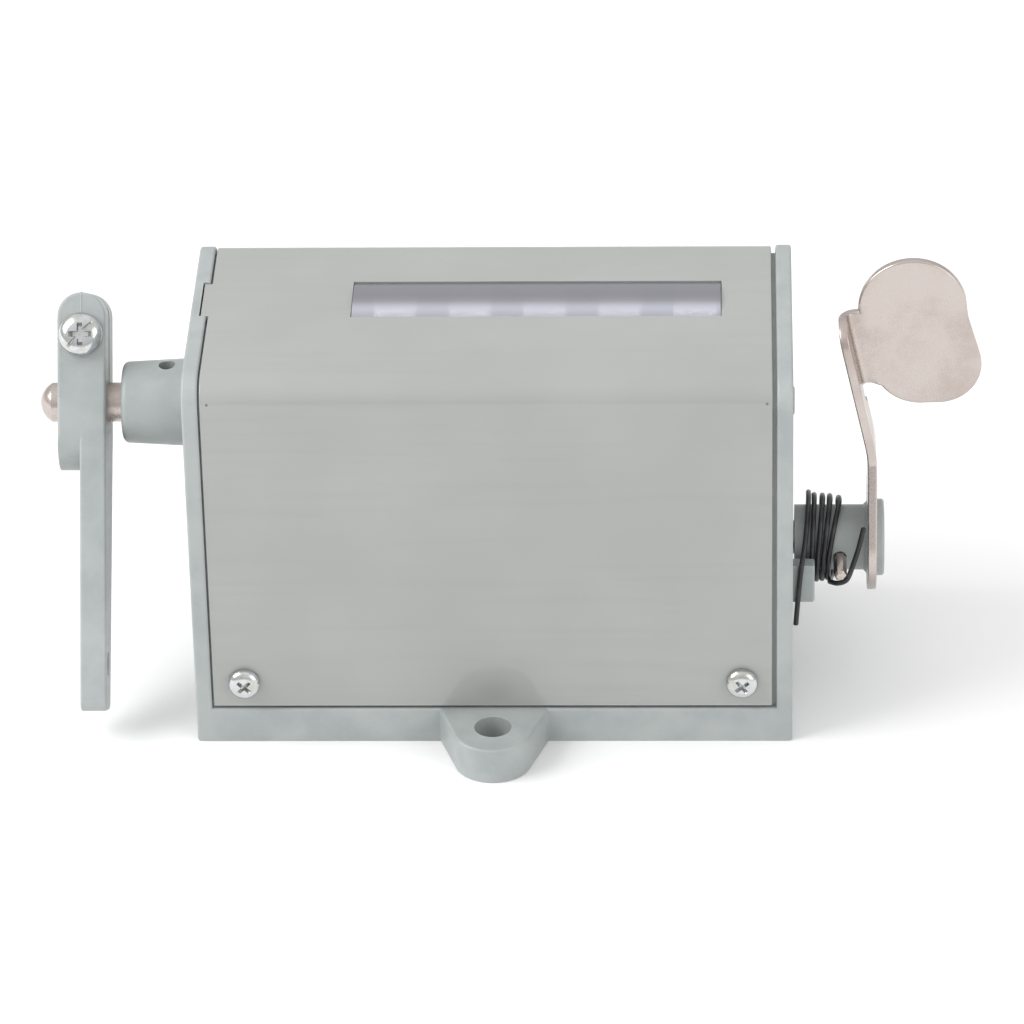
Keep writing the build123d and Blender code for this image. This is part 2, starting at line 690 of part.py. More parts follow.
def number_wheel(index):
    """A wheel rim with its web and hub, its gear and its carry disc."""
    is_units = index == len(WHEELS) - 1
    rim = tube(RIM_R, RIM_HOLLOW_R, RIM_IN, RIM_IN + RIM_W)
    wheel = rim + rod(RIM_HOLLOW_R + 0.5, RIM_IN + RIM_W - WEB, RIM_IN + RIM_W)
    hub_left = RIM_IN
    if index > 0:
        hub_left = RIM_IN - CARRY_W
        notch = rod(CARRY_NOTCH_R, -CARRY_W - 1, RIM_IN, -CARRY_R, 0)
        wheel += rod(CARRY_R, RIM_IN - CARRY_W, RIM_IN) - notch
    wheel += rod(WHEEL_HUB_R, hub_left, WHEEL_HUB_RIGHT)
    if not is_units:
        gear = toothed(GEAR_TEETH, GEAR_ROOT_R, GEAR_TIP_R, GEAR_TOOTH_ROOT, GEAR_TOOTH_TIP, GEAR_W, 0)
        wheel += Pos(RIM_IN + RIM_W, 0, 0) * gear
    bore = ARBOR_R if is_units else ARBOR_R + RUN
    wheel -= rod(bore, hub_left - 1, WHEEL_HUB_RIGHT + 1)
    placed = Pos(WHEEL_X + index * WHEEL_PITCH, 0, 0) * wheel
    if is_units:
        placed -= Pos(ARBOR_PIN_X[1], 0, 0) * Cylinder(ARBOR_PIN_R, 20)
    return at_main(placed)


def heart_cam(index):
    """The heart-shaped cam that a reset finger turns to zero."""
    outline = []
    for side in (1, -1):
        for i in range(CAM_STEPS):
            share = i / CAM_STEPS
            turn = share if side > 0 else 1 - share
            radius = CAM_MIN_R + (CAM_MAX_R - CAM_MIN_R) * turn
            outline.append(polar(radius, CAM_FACING + side * 180 * turn))
    cam = slab(outline, CAM_AT, CAM_AT + CAM_W)
    cam -= rod(WHEEL_HUB_R, CAM_AT - 1, CAM_AT + CAM_W + 1)
    return at_main(Pos(WHEEL_X + index * WHEEL_PITCH, 0, 0) * cam)


def transfer_pinion(index):
    half_tooth = 180 / PINION_TEETH
    gear = toothed(PINION_TEETH, PINION_ROOT_R, PINION_TIP_R, PINION_TOOTH_ROOT,
                   PINION_TOOTH_TIP, PINION_W, half_tooth)
    gear -= rod(PINION_SHAFT_R + RUN, -1, PINION_W + 1)
    return Pos(WHEEL_X + index * WHEEL_PITCH + PINION_AT, PINION_Y, AXIS_Z) * gear


def pinion_spacers():
    """Loose sleeves that keep the pinions apart on their rod."""
    sleeves = []
    left = PLATE_X + PLATE_T + 0.85
    for i in range(len(WHEELS) - 1):
        right = WHEEL_X + i * WHEEL_PITCH + PINION_AT - 0.15
        sleeves.append(tube(PINION_SHAFT_R + 1, PINION_SHAFT_R, left, right, PINION_Y, AXIS_Z))
        left = right + PINION_W + 0.3
    sleeves.append(tube(PINION_SHAFT_R + 1, PINION_SHAFT_R, left, INNER, PINION_Y, AXIS_Z))
    return sleeves


# ---- reset side ----
def reset_shaft():
    bar = rod(RESET_SHAFT_R, PLATE_X - 0.4, LEVER_PLATE_X + LEVER_PLATE_T)
    bar -= Pos(HAMMER_PIN_X, 0, 0) * Cylinder(ARBOR_PIN_R, 20)
    return at_reset(bar)


def reset_hub():
    hub = rod(HUB_R, HUB_LEFT, LEVER_PLATE_X)
    flare = Cone(HUB_R, HUB_R + HUB_FLARE, HUB_FLARE)
    hub += Pos(LEVER_PLATE_X - HUB_FLARE / 2, 0, 0) * Rot(0, 90, 0) * flare
    hub += rod(SPIGOT_R, LEVER_PLATE_X, LEVER_PLATE_X + LEVER_PLATE_T)
    hub -= rod(RESET_SHAFT_R, HUB_LEFT - 1, LEVER_PLATE_X + LEVER_PLATE_T + 1)
    hub -= pin_blank(HUB_R + 2)
    return at_reset(hub)


def pin_blank(reach):
    """A cylinder along the reset pin's axis, from the shaft outwards."""
    length = reach - RESET_SHAFT_R - RUN
    pin = rod_y(PIN_R, -reach, -reach + length, PIN_X, 0)
    return Rot(PIN_DROP, 0, 0) * pin


def reset_pin():
    return at_reset(pin_blank(PIN_REACH))


def hub_cap():
    left = LEVER_PLATE_X + LEVER_PLATE_T
    cap = rod(CAP_R, left, left + CAP_T)
    edge = cap.edges().filter_by(GeomType.CIRCLE).sort_by(Axis.X)[-1]
    return at_reset(fillet(edge, 0.5))


def jogged_strip(z0):
    """The lever plate's thickness in (x, z), stepped inwards near the top."""
    x = LEVER_PLATE_X
    z1 = PLATE_TIP_Z + 5
    left = FilletPolyline((x, z0), (x, KNEE_LOW_Z), (x - PLATE_JOG, KNEE_HIGH_Z), (x - PLATE_TIP_JOG, z1),
                          radius=[KNEE_LOW_R, KNEE_HIGH_R])
    right = Pos(LEVER_PLATE_T, 0) * left
    ends = [Line(left @ 0, right @ 0), Line(left @ 1, right @ 1)]
    face = Plane.XZ * make_face(left.edges() + right.edges() + ends)
    return extrude(face, 15, both=True)


def reset_lever():
    """The bent plate: a round eye, a jogged arm and a thumb paddle."""
    tip = PLATE_TIP_Z - PLATE_ARM_HALF
    profile = Pos(RESET_Y, RESET_Z) * Circle(PLATE_EYE_R)
    profile = make_hull((profile + Pos(RESET_Y, KNEE_LOW_Z - 2) * Circle(PLATE_ARM_HALF)).edges())
    profile += Pos(0, (KNEE_LOW_Z + tip) / 2) * Rectangle(2 * PLATE_ARM_HALF, tip - KNEE_LOW_Z + 4)
    profile += Pos(0, tip) * Circle(PLATE_ARM_HALF)
    arm = Pos(LEVER_PLATE_X - 10, 0, 0) * extrude(Plane.YZ * profile, 20)
    arm &= jogged_strip(RESET_Z - PLATE_EYE_R - 1)
    arm -= rod(SPIGOT_R, LEVER_PLATE_X - 1, LEVER_PLATE_X + 3, RESET_Y, RESET_Z)
    return arm + paddle()


def paddle():
    """The thumb paddle, a flat teardrop bent off the arm's rear edge."""
    circles = [Pos(x, z) * Circle(r) for x, z, r in PADDLE_CIRCLES]
    face = make_hull(Sketch(circles).edges()) + make_face(Polyline(*PADDLE_NECK, close=True))
    plate = extrude(Plane.XZ * face, LEVER_PLATE_T)
    rims = plate.edges().group_by(Axis.Y)
    plate = fillet(rims[0] + rims[-1], PLATE_EDGE_R)
    return Pos(0, PADDLE_FRONT + LEVER_PLATE_T, 0) * plate


def reset_hammers():
    """A sleeve with one finger in line with each heart cam."""
    part = rod(HAMMER_HUB_R, HAMMER_LEFT, HAMMER_RIGHT)
    for i in range(len(WHEELS)):
        x = WHEEL_X + i * WHEEL_PITCH + FINGER_AT
        finger = block(x, x + FINGER_W, 0, FINGER_R, -FINGER_HALF, FINGER_HALF)
        part += Rot(90 - FINGER_REST, 0, 0) * finger
    part -= rod(RESET_SHAFT_R, HAMMER_LEFT - 1, HAMMER_RIGHT + 1)
    part -= Pos(HAMMER_PIN_X, 0, 0) * Cylinder(ARBOR_PIN_R, 20)
    return at_reset(part)


def hammer_pin():
    return at_reset(Pos(HAMMER_PIN_X, 0, 0) * Cylinder(ARBOR_PIN_R, 2 * HAMMER_HUB_R - 0.4))


def reset_spring():
    """Coil, a tail hooked over the stop lug and a hook under the pin."""
    body = at_reset(coil(COIL_R, WIRE_R, COIL_LEFT, COIL_RIGHT, COIL_TURNS, COIL_START))
    over = LUG_TOP + WIRE_R + 0.1
    ahead = LUG_FRONT - WIRE_R - 0.1
    tail = wire([(WIDTH / 2 + 0.7, ahead, TAIL_END), (COIL_LEFT - 0.5, ahead, over + 0.4),
                 (COIL_LEFT, RESET_Y - COIL_R, over + 0.4), (COIL_LEFT, RESET_Y - COIL_R, RESET_Z)], [0.9, 0.9])
    under = RESET_Z - PIN_REACH * sin(radians(PIN_DROP)) - PIN_R - WIRE_R
    front = RESET_Y - PIN_REACH + 1.2
    gap = PIN_R + WIRE_R + 0.15
    hook = wire([(COIL_RIGHT, RESET_Y - COIL_R, RESET_Z), (PIN_X - gap, front, under + 1.6),
                 (PIN_X - gap, front, under), (PIN_X + gap, front, under),
                 (LEVER_PLATE_X - 1.4, front + 2, RESET_Z + 6)], [0.8, 0.7, 0.8])
    return [body, tail, hook]


NODES = {
    "frame_casting": frame_casting,
    "cover": cover,
    "window_lens": window_lens,
    "digit_mask": digit_mask,
    "cover_screws": cover_screws,
    "drive_bush": drive_bush,
    "arbor_bush": lambda: cheek_bush(ARBOR_BUSH_R, ARBOR_R, AXIS_Y, AXIS_Z),
    "reset_bush": lambda: cheek_bush(RESET_BUSH_R, RESET_SHAFT_R, RESET_Y, RESET_Z),
    "partition_plate": partition_plate,
    "plate_screws": plate_screws,
    "plate_arbor_bush": lambda: plate_bush(ARBOR_BUSH_R, ARBOR_R, AXIS_Y, AXIS_Z),
    "plate_reset_bush": lambda: plate_bush(RESET_BUSH_R, RESET_SHAFT_R, RESET_Y, RESET_Z),
    "pinion_rod": lambda: cross_rod(PINION_Y, AXIS_Z),
    "stop_rod": lambda: cross_rod(TIE_Y, TIE_Z),
    "rod_clips": rod_clips,
    "pinion_spacers": pinion_spacers,
    "hold_pawl_pin": hold_pawl_pin,
    "hold_pawl": lambda: pawl(HOLD_ANGLE, HOLD_REACH, HOLD_ANGLE - NOSE_SPREAD),
    "drive_shaft": drive_shaft,
    "drive_lever": drive_lever,
    "clamp_screw": clamp_screw,
    "pawl_carrier": pawl_carrier,
    "carrier_pin": carrier_pin,
    "drive_pawl_pin": drive_pawl_pin,
    "drive_pawl": lambda: pawl(CARRIER_ANGLE, CARRIER_REACH, CARRIER_ANGLE - NOSE_SPREAD),
    "return_spring": return_spring,
    "wheel_arbor": arbor,
    "arbor_pins": arbor_pins,
    "arbor_clip": arbor_clip,
    "arbor_spacer": arbor_spacer,
    "ratchet_wheel": ratchet_wheel,
    "reset_shaft": reset_shaft,
    "reset_hub": reset_hub,
    "reset_pin": reset_pin,
    "reset_lever": reset_lever,
    "hub_cap": hub_cap,
    "reset_hammers": reset_hammers,
    "hammer_pin": hammer_pin,
    "reset_spring": reset_spring,
}


def main():
    os.makedirs("parts", exist_ok=True)
    shapes = {name: make() for name, make in NODES.items()}
    for i, wheel in enumerate(WHEELS):
        shapes["wheel_" + wheel] = number_wheel(i)
        shapes["heart_cam_" + wheel] = heart_cam(i)
        if i < len(WHEELS) - 1:
            shapes["pinion_" + wheel] = transfer_pinion(i)
    for name, shape in shapes.items():
        solids = shape if isinstance(shape, list) else [shape]
        compound = Compound(children=[solid for item in solids for solid in item.solids()])
        export_step(compound, f"parts/{name}.step")


main()
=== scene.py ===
import json
from math import cos, pi, radians, sin

import bmesh
import bpy
from mathutils import Matrix, Vector, geometry
from mathutils.kdtree import KDTree


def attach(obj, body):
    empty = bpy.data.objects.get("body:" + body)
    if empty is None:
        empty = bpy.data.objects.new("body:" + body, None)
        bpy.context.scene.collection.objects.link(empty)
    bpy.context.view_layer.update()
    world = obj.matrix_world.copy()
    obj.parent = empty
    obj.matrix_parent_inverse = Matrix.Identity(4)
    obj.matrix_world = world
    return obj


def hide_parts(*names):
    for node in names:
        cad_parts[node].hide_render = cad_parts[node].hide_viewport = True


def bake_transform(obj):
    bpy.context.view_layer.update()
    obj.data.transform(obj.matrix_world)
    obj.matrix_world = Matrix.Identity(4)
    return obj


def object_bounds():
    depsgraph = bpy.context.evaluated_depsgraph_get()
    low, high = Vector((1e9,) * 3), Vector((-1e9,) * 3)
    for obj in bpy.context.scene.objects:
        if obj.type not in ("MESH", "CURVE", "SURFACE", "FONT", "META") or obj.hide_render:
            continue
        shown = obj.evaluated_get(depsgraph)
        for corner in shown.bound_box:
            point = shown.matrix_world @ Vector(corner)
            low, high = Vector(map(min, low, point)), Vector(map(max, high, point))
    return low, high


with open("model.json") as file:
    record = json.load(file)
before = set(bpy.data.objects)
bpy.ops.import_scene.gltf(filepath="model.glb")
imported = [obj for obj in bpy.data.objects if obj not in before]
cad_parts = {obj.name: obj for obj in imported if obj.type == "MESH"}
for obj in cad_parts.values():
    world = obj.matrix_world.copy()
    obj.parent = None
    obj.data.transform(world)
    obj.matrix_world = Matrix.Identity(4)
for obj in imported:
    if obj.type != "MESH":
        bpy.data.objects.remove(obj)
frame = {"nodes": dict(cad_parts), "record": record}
cad_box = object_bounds()

MM = 0.001
SHARP_DEGREES = 38

# ---- camera: place and aim ----
CAMERA_AT = Vector((41.995, -971.319, 608.145)) * MM
CAMERA_YAW = radians(2.3026)
CAMERA_DOWN = radians(30.6565)
CAMERA_ROLL = radians(-1.2811)
CAMERA_LENS = 223.92
SENSOR = 36.0

# ---- paint and metal colours, linear ----
CASTING_GREY = (0.328, 0.358, 0.354)
CASTING_PALE = (0.386, 0.413, 0.408)
CASTING_DEEP = (0.270, 0.295, 0.292)
CASTING_EDGE_PALE = (0.500, 0.520, 0.515)
COVER_GREY = (0.322, 0.331, 0.318)
COVER_PALE = (0.346, 0.354, 0.346)
COVER_STREAK = (0.300, 0.310, 0.298)
COVER_EDGE_PALE = (0.600, 0.610, 0.600)
COVER_PIT = (0.080, 0.080, 0.080)
NICKEL = (0.560, 0.500, 0.470)
NICKEL_DULL = (0.470, 0.405, 0.370)
ZINC = (0.640, 0.655, 0.675)
ZINC_YELLOW = (0.520, 0.510, 0.460)
BRONZE = (0.560, 0.360, 0.150)
BRONZE_DARK = (0.330, 0.200, 0.090)
STEEL = (0.500, 0.500, 0.505)
STEEL_DARK = (0.280, 0.285, 0.295)
OXIDE = (0.014, 0.014, 0.017)
OXIDE_PALE = (0.045, 0.045, 0.052)
BLACK = (0.012, 0.012, 0.013)
BLACK_DUSTY = (0.030, 0.030, 0.031)
IVORY = (0.720, 0.700, 0.640)
IVORY_DULL = (0.560, 0.540, 0.480)
FLOOR_WHITE = (0.930, 0.930, 0.930)
FLOOR_PALE = (0.950, 0.950, 0.950)
LENS_CLEAR = (0.930, 0.940, 0.970)
LENS_CLOUDY = (0.970, 0.970, 0.990)
# lens colours seen aslant: a painted reflection, and a paler painted highlight along its front roll
LENS_PAINTED_REFLECTION = (0.050, 0.050, 0.078)
LENS_ROLL_HIGHLIGHT = (0.720, 0.750, 0.980)

# ---- two chips in the cover's paint, at its bend ----
COVER_PITS = ((-48.1, -24.6, 68.0), (48.0, -24.6, 68.0))

# ---- the part's axes and the lever's place, in millimetres ----
AXIS_Y = 5.8
AXIS_Z = 51.3
RESET_Y = 0.0
RESET_Z = 26.7
LEVER_MIDDLE_X = -72.45
LEVER_DEEP = 7.0
LEVER_PLACE = Matrix.Translation((0, AXIS_Y, AXIS_Z)) @ Matrix.Rotation(radians(-30.0), 4, "X")
FLASH_LOW_Z = 15.9
FLASH_HIGH_Z = 18.9
FLASH_SUNK = 0.06
FLASH_R = 0.16
FLASH_STEPS = 12
# how the ridge runs back over the clamp's top: depth behind its front, and rise
FLASH_TOP = ((0.5, 0.35), (1.6, 0.42))

# ---- screws: the seat of each, and which way its head faces about X ----
M3_HEAD_R = 2.85
M3_HEAD_H = 2.0
M3_SHANK_R = 1.46
M3_LENGTH = 8.0
M3_EDGE = 0.06
COVER_SCREW_Z = 12.1
COVER_SCREW_SEATS = ((-43.8, -25.0, 1), (43.65, -25.0, 1), (-43.8, 28.8, -1), (43.65, 28.8, -1))
COVER_SCREW_TURNS = (48.0, 38.0, 45.0, 20.0)
M4_HEAD_R = 3.85
M4_HEAD_H = 2.9
M4_SHANK_R = 1.96
M4_LENGTH = 14.5
M4_EDGE = 0.08
SLOT_TURN = 45.0
# a pan head's straight side, as a share of its height, and the power that squares its dome
PAN_SIDE = 0.3
PAN_DOME = 0.62
PAN_STEPS = 14
# a recess's length and width as shares of the head's radius, and its depth as a share of its height
CROSS_CUT = (1.16, 0.27, 0.62)
SLOT_CUT = (2.1, 0.16, 0.45)
# what is left of a recess's length and width at its bottom
CUT_TAPER = (0.62, 0.75)
CLAMP_Z = 11.9

# ---- reset pin and springs ----
PIN_R = 1.2
PIN_X = 61.0
PIN_ROOT = 3.1
PIN_REACH = 11.4
PIN_CHAMFER = 0.45
PIN_DROP = 7.5
SPRING_WIRE_R = 0.46
SPRING_TAIL = ((53.2, -11.2, 15.4), (53.6, -11.2, 21.0), (54.1, -11.2, 26.8), (54.7, -9.9, 30.6),
               (55.2, -6.0, 33.6))
# each turn: x at its front, top, back and bottom, then its radius; the tail leads into the first
SPRING_TURNS = ((None, 55.5, 55.6, 55.8, 8.1),
                (56.0, 56.5, 56.6, 56.8, 7.6),
                (57.1, 58.0, 57.9, 57.8, 7.5),
                (58.1, 59.3, 59.2, 58.8, 7.4),
                (59.05, 60.9, 60.7, 59.8, 7.1))
SPRING_HOOK = ((59.3, -5.4, 20.9), (59.4, -8.8, 22.7), (60.6, -10.4, 23.4), (62.1, -10.5, 24.1),
               (63.0, -10.2, 26.2), (64.2, -9.2, 29.8), (65.1, -8.2, 33.4))
RETURN_LEFT = -47.6
RETURN_RIGHT = -43.2
RETURN_R = 7.2
RETURN_WIRE_R = 0.5
RETURN_TURNS = 3.5
RETURN_STEPS = 112

# ---- reset lever ----
PLATE_T = 1.6
PLATE_MIDDLE_X = 66.65
PLATE_TIP_Z = 70.7
TIP_ARC_START = 48.2
KNEE_LOW_Z = 45.0
KNEE_HIGH_Z = 69.3
ARM_SLOPE = 0.218
ARM_HALF = 4.5
EYE_R = 9.3
EYE_LEAN = 17.13
SPIGOT_R = 4.0
BEND_AT = 1.9
BEND_MID_R = 1.8
NOTCH_ACROSS = 3.0
NOTCH_Z = 54.5
NOTCH_R = 1.65
PATTERN_LEFT = -4.0
PATTERN_LOW_Z = 17.0
COLUMN_STEP = 0.8
COLUMNS = 56
ROW_STEP = 0.9
ROWS = 72
BEND_COLUMNS = 8
OUTLINE_STEP = 0.7
OUTLINE_CLEAR = 0.6
WELD = 0.25
KNEE_LOW_HALF = 3.0
KNEE_HIGH_HALF = 1.1
TIP_SLOPE = 0.03
PLATE_EDGE = 0.28
# the neck between the arm and the paddle: across the flat pattern, then z
NECK = ((0.2, NOTCH_Z + NOTCH_R), (5.3, 56.4), (6.5, 55.85), (10.0, 55.4),
        (10.0, 70.7), (5.8, 70.6), (3.1, 70.2), (0.2, 70.1))
PADDLE_CIRCLES = ((73.5, 71.1, 9.5), (78.2, 59.9, 7.5), (75.1, 60.8, 8.5))

# ---- studio, in metres and watts, and the room's strength at its horizon and overhead ----
FLOOR_HALF = 6.0
FLOOR_GAP = 0.0001
KEY_AT = Vector((-1.1, -0.25, 1.0))
KEY_SIZE = 1.0
KEY_WATTS = 15.0
FILL_AT = Vector((0.9, -0.7, 0.5))
FILL_SIZE = 0.8
FILL_WATTS = 3.0
ROOM_LOW = 0.62
ROOM_HIGH = 1.0
ROOM_RISE = 0.9

# ---- number wheels ----
WHEELS = ("ten_thousands", "thousands", "hundreds", "tens", "units")
WHEEL_X = -16.9
WHEEL_PITCH = 13.1
RIM_R = 16.5
FIGURE_SIZE = 8.6
FIGURE_WEIGHT = 0.12
FIGURE_BAND = 0.5
FIGURE_BANDS = 8
FIGURE_PROUD = 0.05


# ---- materials ----
class Surface:
    """One procedural material, with short calls for its texture nodes."""

    def __init__(self, name, **sockets):
        self.material = bpy.data.materials.new(name)
        self.material.use_nodes = True
        self.tree = self.material.node_tree
        self.shader = self.tree.nodes["Principled BSDF"]
        self.place = self.node("ShaderNodeTexCoord").outputs["Object"]
        for socket, value in sockets.items():
            self.set(socket.replace("_", " "), value)

    def node(self, kind, **settings):
        """Adds a texture node with its settings."""
        made = self.tree.nodes.new(kind)
        for key, value in settings.items():
            setattr(made, key, value)
        return made

    def feed(self, socket, value):
        """Links an output to a socket, or writes a plain value on it."""
        if isinstance(value, bpy.types.NodeSocket):
            self.tree.links.new(value, socket)
        elif isinstance(value, tuple) and len(value) == 3 and socket.type == "RGBA":
            socket.default_value = (*value, 1)
        else:
            socket.default_value = value

    def set(self, name, value):
        """Links or writes one of the shader's own sockets."""
        self.feed(self.shader.inputs[name], value)

    def stretched(self, scale):
        """The object coordinates, scaled along each axis."""
        mapping = self.node("ShaderNodeMapping")
        self.feed(mapping.inputs["Vector"], self.place)
        mapping.inputs["Scale"].default_value = scale
        return mapping.outputs["Vector"]

    def noise(self, size_mm, detail=3.0, rough=0.55, stretch=(1, 1, 1)):
        """Smooth noise from 0 to 1, with blotches about size_mm across."""
        made = self.node("ShaderNodeTexNoise")
        self.feed(made.inputs["Vector"], self.stretched(stretch))
        made.inputs["Scale"].default_value = 1 / (size_mm * MM)
        made.inputs["Detail"].default_value = detail
        made.inputs["Roughness"].default_value = rough
        return made.outputs["Fac"]

    def cells(self, size_mm, stretch=(1, 1, 1)):
        """Rounded cells, 0 at each centre."""
        made = self.node("ShaderNodeTexVoronoi", feature="SMOOTH_F1")
        self.feed(made.inputs["Vector"], self.stretched(stretch))
        made.inputs["Scale"].default_value = 1 / (size_mm * MM)
        return made.outputs["Distance"]

    def math(self, operation, a, b=0.0, c=0.0):
        """One arithmetic step."""
        made = self.node("ShaderNodeMath", operation=operation)
        for socket, value in zip(made.inputs, (a, b, c)):
            self.feed(socket, value)
        return made.outputs[0]

    def span(self, value, low, high, to_low=0.0, to_high=1.0):
        """value mapped from low..high onto to_low..to_high, and held there."""
        made = self.node("ShaderNodeMapRange", interpolation_type="SMOOTHSTEP")
        for socket, number in zip(made.inputs, (value, low, high, to_low, to_high)):
            self.feed(socket, number)
        return made.outputs[0]

    def mix(self, share, a, b):
        """Colour a towards colour b."""
        made = self.node("ShaderNodeMix", data_type="RGBA")
        for name, value in (("Factor_Float", share), ("A_Color", a), ("B_Color", b)):
            self.feed(next(s for s in made.inputs if s.identifier == name), value)
        return next(s for s in made.outputs if s.identifier == "Result_Color")

    def bump(self, height, depth_mm, normal=None):
        """A bump up to depth_mm high, over another normal if one is given."""
        made = self.node("ShaderNodeBump")
        made.inputs["Distance"].default_value = depth_mm * MM
        self.feed(made.inputs["Height"], height)
        if normal is not None:
            self.feed(made.inputs["Normal"], normal)
        return made.outputs["Normal"]

    def edges(self, width_mm):
        """1 on convex edges and 0 away from them."""
        rounded = self.node("ShaderNodeBevel", samples=6)
        rounded.inputs["Radius"].default_value = width_mm * MM
        plain = self.node("ShaderNodeNewGeometry")
        likeness = self.node("ShaderNodeVectorMath", operation="DOT_PRODUCT")
        self.feed(likeness.inputs[0], rounded.outputs["Normal"])
        self.feed(likeness.inputs[1], plain.outputs["Normal"])
        return self.span(likeness.outputs["Value"], 0.99, 0.86)

    def near(self, point_mm, radius_mm):
        """1 within radius_mm of a point and 0 outside it."""
        apart = self.node("ShaderNodeVectorMath", operation="DISTANCE")
        self.feed(apart.inputs[0], self.place)
        apart.inputs[1].default_value = Vector(point_mm) * MM
        return self.span(apart.outputs["Value"], radius_mm * MM, radius_mm * MM * 0.5)


def casting_paint():
    """Green-grey paint over a die casting: mottled, faintly hammered, lighter on its convex edges."""
    s = Surface("casting_paint", Coat_Weight=0.12, Coat_Roughness=0.3)
    fine = s.noise(0.9, detail=4)
    broad = s.noise(7.0, detail=3)
    speck = s.noise(0.35, detail=2)
    tone = s.mix(s.span(broad, 0.3, 0.7), CASTING_GREY, CASTING_PALE)
    tone = s.mix(s.span(fine, 0.5, 0.8, 0.0, 0.55), tone, CASTING_PALE)
    tone = s.mix(s.span(speck, 0.62, 0.8, 0.0, 0.35), tone, CASTING_DEEP)
    # lighter on convex edges, broken up by the fine noise
    pale_edges = s.math("MULTIPLY", s.edges(0.5), s.span(fine, 0.35, 0.6, 0.15, 0.6))
    s.set("Base Color", s.mix(pale_edges, tone, CASTING_EDGE_PALE))
    s.set("Roughness", s.span(fine, 0.3, 0.75, 0.38, 0.56))
    hammered = s.bump(s.cells(1.5), 0.035)
    s.set("Normal", s.bump(fine, 0.05, hammered))
    return s.material


def cover_paint():
    """Smooth glossy grey paint on sheet steel."""
    s = Surface("cover_paint", Coat_Weight=0.75, Coat_Roughness=0.07, Coat_IOR=1.55)
    broad = s.noise(28.0, detail=2)
    streak = s.noise(2.2, detail=4, stretch=(0.05, 1, 1))
    tone = s.mix(s.span(broad, 0.3, 0.7), COVER_GREY, COVER_PALE)
    tone = s.mix(s.span(streak, 0.45, 0.75, 0.0, 0.3), tone, COVER_STREAK)
    # lighter on convex edges, broken up by the streak noise
    pale_edges = s.math("MULTIPLY", s.edges(0.25), s.span(streak, 0.4, 0.6, 0.1, 0.5))
    tone = s.mix(pale_edges, tone, COVER_EDGE_PALE)
    for pit in COVER_PITS:
        tone = s.mix(s.near(pit, 0.45), tone, COVER_PIT)
    s.set("Base Color", tone)
    s.set("Roughness", s.span(s.noise(4.0), 0.3, 0.7, 0.30, 0.40))
    s.set("Normal", s.bump(s.noise(1.6, detail=2), 0.006))
    return s.material


def metal(name, bright, dull, low, high, blotch, grain, depth, stretch=(1, 1, 1)):
    """Bare or plated metal: soft blotches of tone and roughness over a fine grain."""
    s = Surface(name, Metallic=1.0)
    cloud = s.noise(blotch, detail=4)
    fine = s.noise(grain, detail=3, stretch=stretch)
    tone = s.mix(s.span(cloud, 0.35, 0.75), bright, dull)
    s.set("Base Color", s.mix(s.math("MULTIPLY", s.edges(0.25), 0.45), tone, bright))
    s.set("Roughness", s.span(s.math("ADD", cloud, fine), 0.7, 1.35, low, high))
    s.set("Normal", s.bump(fine, depth))
    return s.material


def plastic(name, plain, pale, low, high, grain, depth):
    """Moulded plastic or oxide black: faint dust, fine grain and paler edges."""
    s = Surface(name, Coat_Weight=0.1, Coat_Roughness=0.25)
    dust = s.noise(3.0, detail=5)
    fine = s.noise(grain, detail=3)
    tone = s.mix(s.span(dust, 0.45, 0.75), plain, pale)
    s.set("Base Color", s.mix(s.math("MULTIPLY", s.edges(0.25), 0.5), tone, pale))
    s.set("Roughness", s.span(fine, 0.3, 0.7, low, high))
    s.set("Normal", s.bump(fine, depth))
    return s.material


def clear_lens():
    """Clear acrylic with hair scratches. Seen aslant, its colour turns to a painted reflection and its
    transmission falls; along its front roll that painted reflection is paler, a painted highlight.
    """
    s = Surface("clear_lens", IOR=1.49)
    scratch = s.noise(0.5, detail=2, stretch=(0.12, 1, 1))
    along = s.node("ShaderNodeSeparateXYZ")
    s.feed(along.inputs[0], s.place)
    # painted highlight: paler colour towards the lens's front, where its roll catches the overhead light
    roll_highlight = s.span(along.outputs["Y"], 4.6 * MM, 0.4 * MM)
    glance = s.node("ShaderNodeLayerWeight").outputs["Facing"]
    # painted reflection: as the lens is seen more aslant, its colour turns to a dark bluish grey and its
    # transmission falls
    reflection_share = s.span(glance, 0.15, 0.55, 0.0, 0.82)
    tint = s.mix(s.noise(9.0), LENS_CLEAR, LENS_CLOUDY)
    painted_reflection = s.mix(roll_highlight, LENS_PAINTED_REFLECTION, LENS_ROLL_HIGHLIGHT)
    s.set("Base Color", s.mix(reflection_share, tint, painted_reflection))
    s.set("Transmission Weight", s.math("SUBTRACT", 1.0, reflection_share))
    s.set("Roughness", s.span(scratch, 0.5, 0.8, 0.02, 0.16))
    s.set("Normal", s.bump(s.span(scratch, 0.62, 0.72), 0.01))
    return s.material


def floor_white():
    """A matt white studio floor."""
    s = Surface("floor_white", Roughness=0.9, Specular_IOR_Level=0.1)
    s.set("Base Color", s.mix(s.noise(60.0, detail=2), FLOOR_WHITE, FLOOR_PALE))
    return s.material


